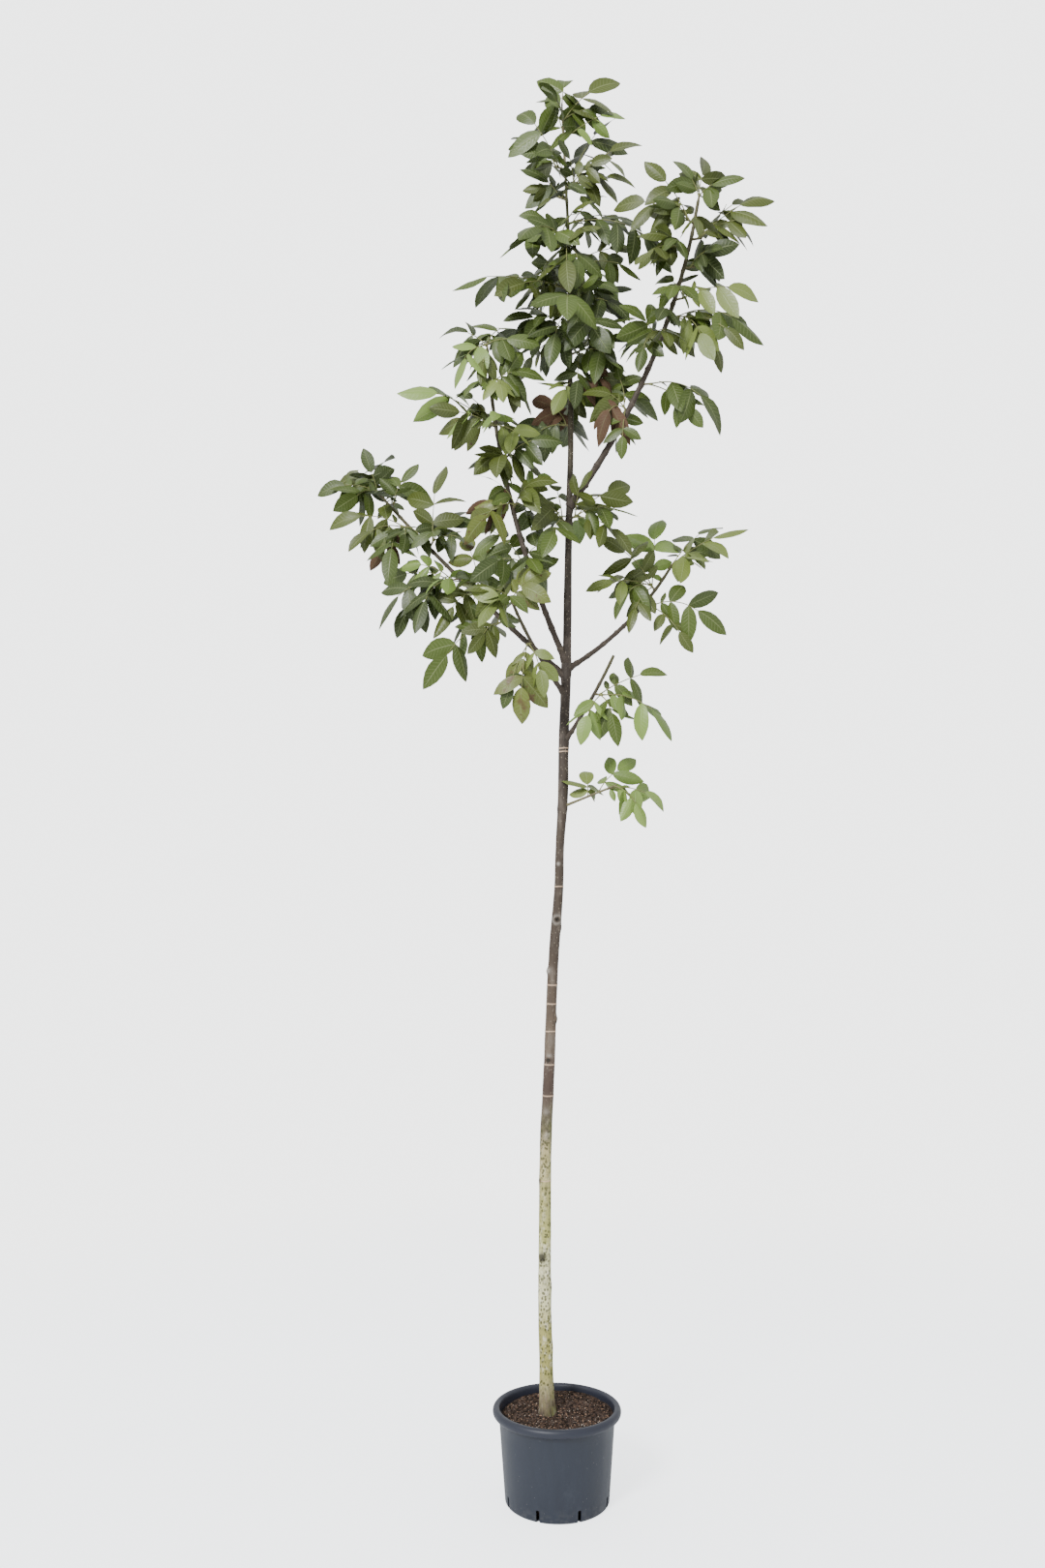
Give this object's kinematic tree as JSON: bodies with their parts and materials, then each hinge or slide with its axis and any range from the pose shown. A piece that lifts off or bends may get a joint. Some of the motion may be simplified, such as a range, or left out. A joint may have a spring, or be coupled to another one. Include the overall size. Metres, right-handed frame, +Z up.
{
  "type": "potted walnut tree",
  "caption": "Young walnut tree with one slender trunk, upswept boughs and loose compound leaves, standing in a round dark nursery pot filled with bark and peat.",
  "frame": {"origin": "centre of the pot's flat underside", "axes": "+Z up along the pot's axis; +X towards the side where the highest bough leans; -Y towards the front, the side that most leaves turn their faces to"},
  "size_m": [1.5676, 0.8481, 4.6622],
  "materials": {
    "foliage": "leathery green leaflets on olive stalks",
    "bark": "smooth grey-brown bark, pale and olive low on the trunk",
    "pot": "matt slate-black moulded plastic with scuffs",
    "soil": "loose brown bark and peat mix"
  },
  "bodies": {
    "root": {"pot": "pot", "soil": "soil", "trunk": "bark", "bough_spur": "bark", "bough_middle": "bark", "bough_right": "bark", "bough_front": "bark", "bough_left": "bark", "bough_inner": "bark", "foliage_leader_tip": "foliage", "foliage_leader_left_1": "foliage", "foliage_leader_right_1": "foliage", "foliage_leader_left_2": "foliage", "foliage_leader_right_2": "foliage", "foliage_leader_left_3": "foliage", "foliage_leader_front_1": "foliage", "foliage_leader_back_1": "foliage", "foliage_leader_left_4": "foliage", "foliage_leader_right_3": "foliage", "foliage_leader_front_2": "foliage", "foliage_leader_left_5": "foliage", "foliage_leader_right_4": "foliage", "foliage_leader_right_5": "foliage", "foliage_leader_back_2": "foliage", "foliage_leader_low_right": "foliage", "foliage_leader_low_left": "foliage", "foliage_right_tip": "foliage", "foliage_right_upper_left": "foliage", "foliage_right_upper_right": "foliage", "foliage_right_mid_left": "foliage", "foliage_right_mid_right": "foliage", "foliage_right_out": "foliage", "foliage_right_low_right": "foliage", "foliage_right_low_left": "foliage", "foliage_right_pendant": "foliage", "foliage_right_inner": "foliage", "foliage_middle_tip": "foliage", "foliage_middle_inner": "foliage", "foliage_middle_pendant": "foliage", "foliage_spur": "foliage", "foliage_low_twig": "foliage", "foliage_front_tip": "foliage", "foliage_front_pendant": "foliage", "foliage_left_tip": "foliage", "foliage_left_top": "foliage", "foliage_left_out": "foliage", "foliage_left_up": "foliage", "foliage_left_fall": "foliage", "foliage_left_low": "foliage", "foliage_left_pendant": "foliage", "foliage_inner_tip": "foliage", "foliage_inner_top_right": "foliage", "foliage_inner_left": "foliage", "foliage_inner_right": "foliage", "foliage_inner_low": "foliage", "foliage_inner_base": "foliage"}
  },
  "joints": []
}
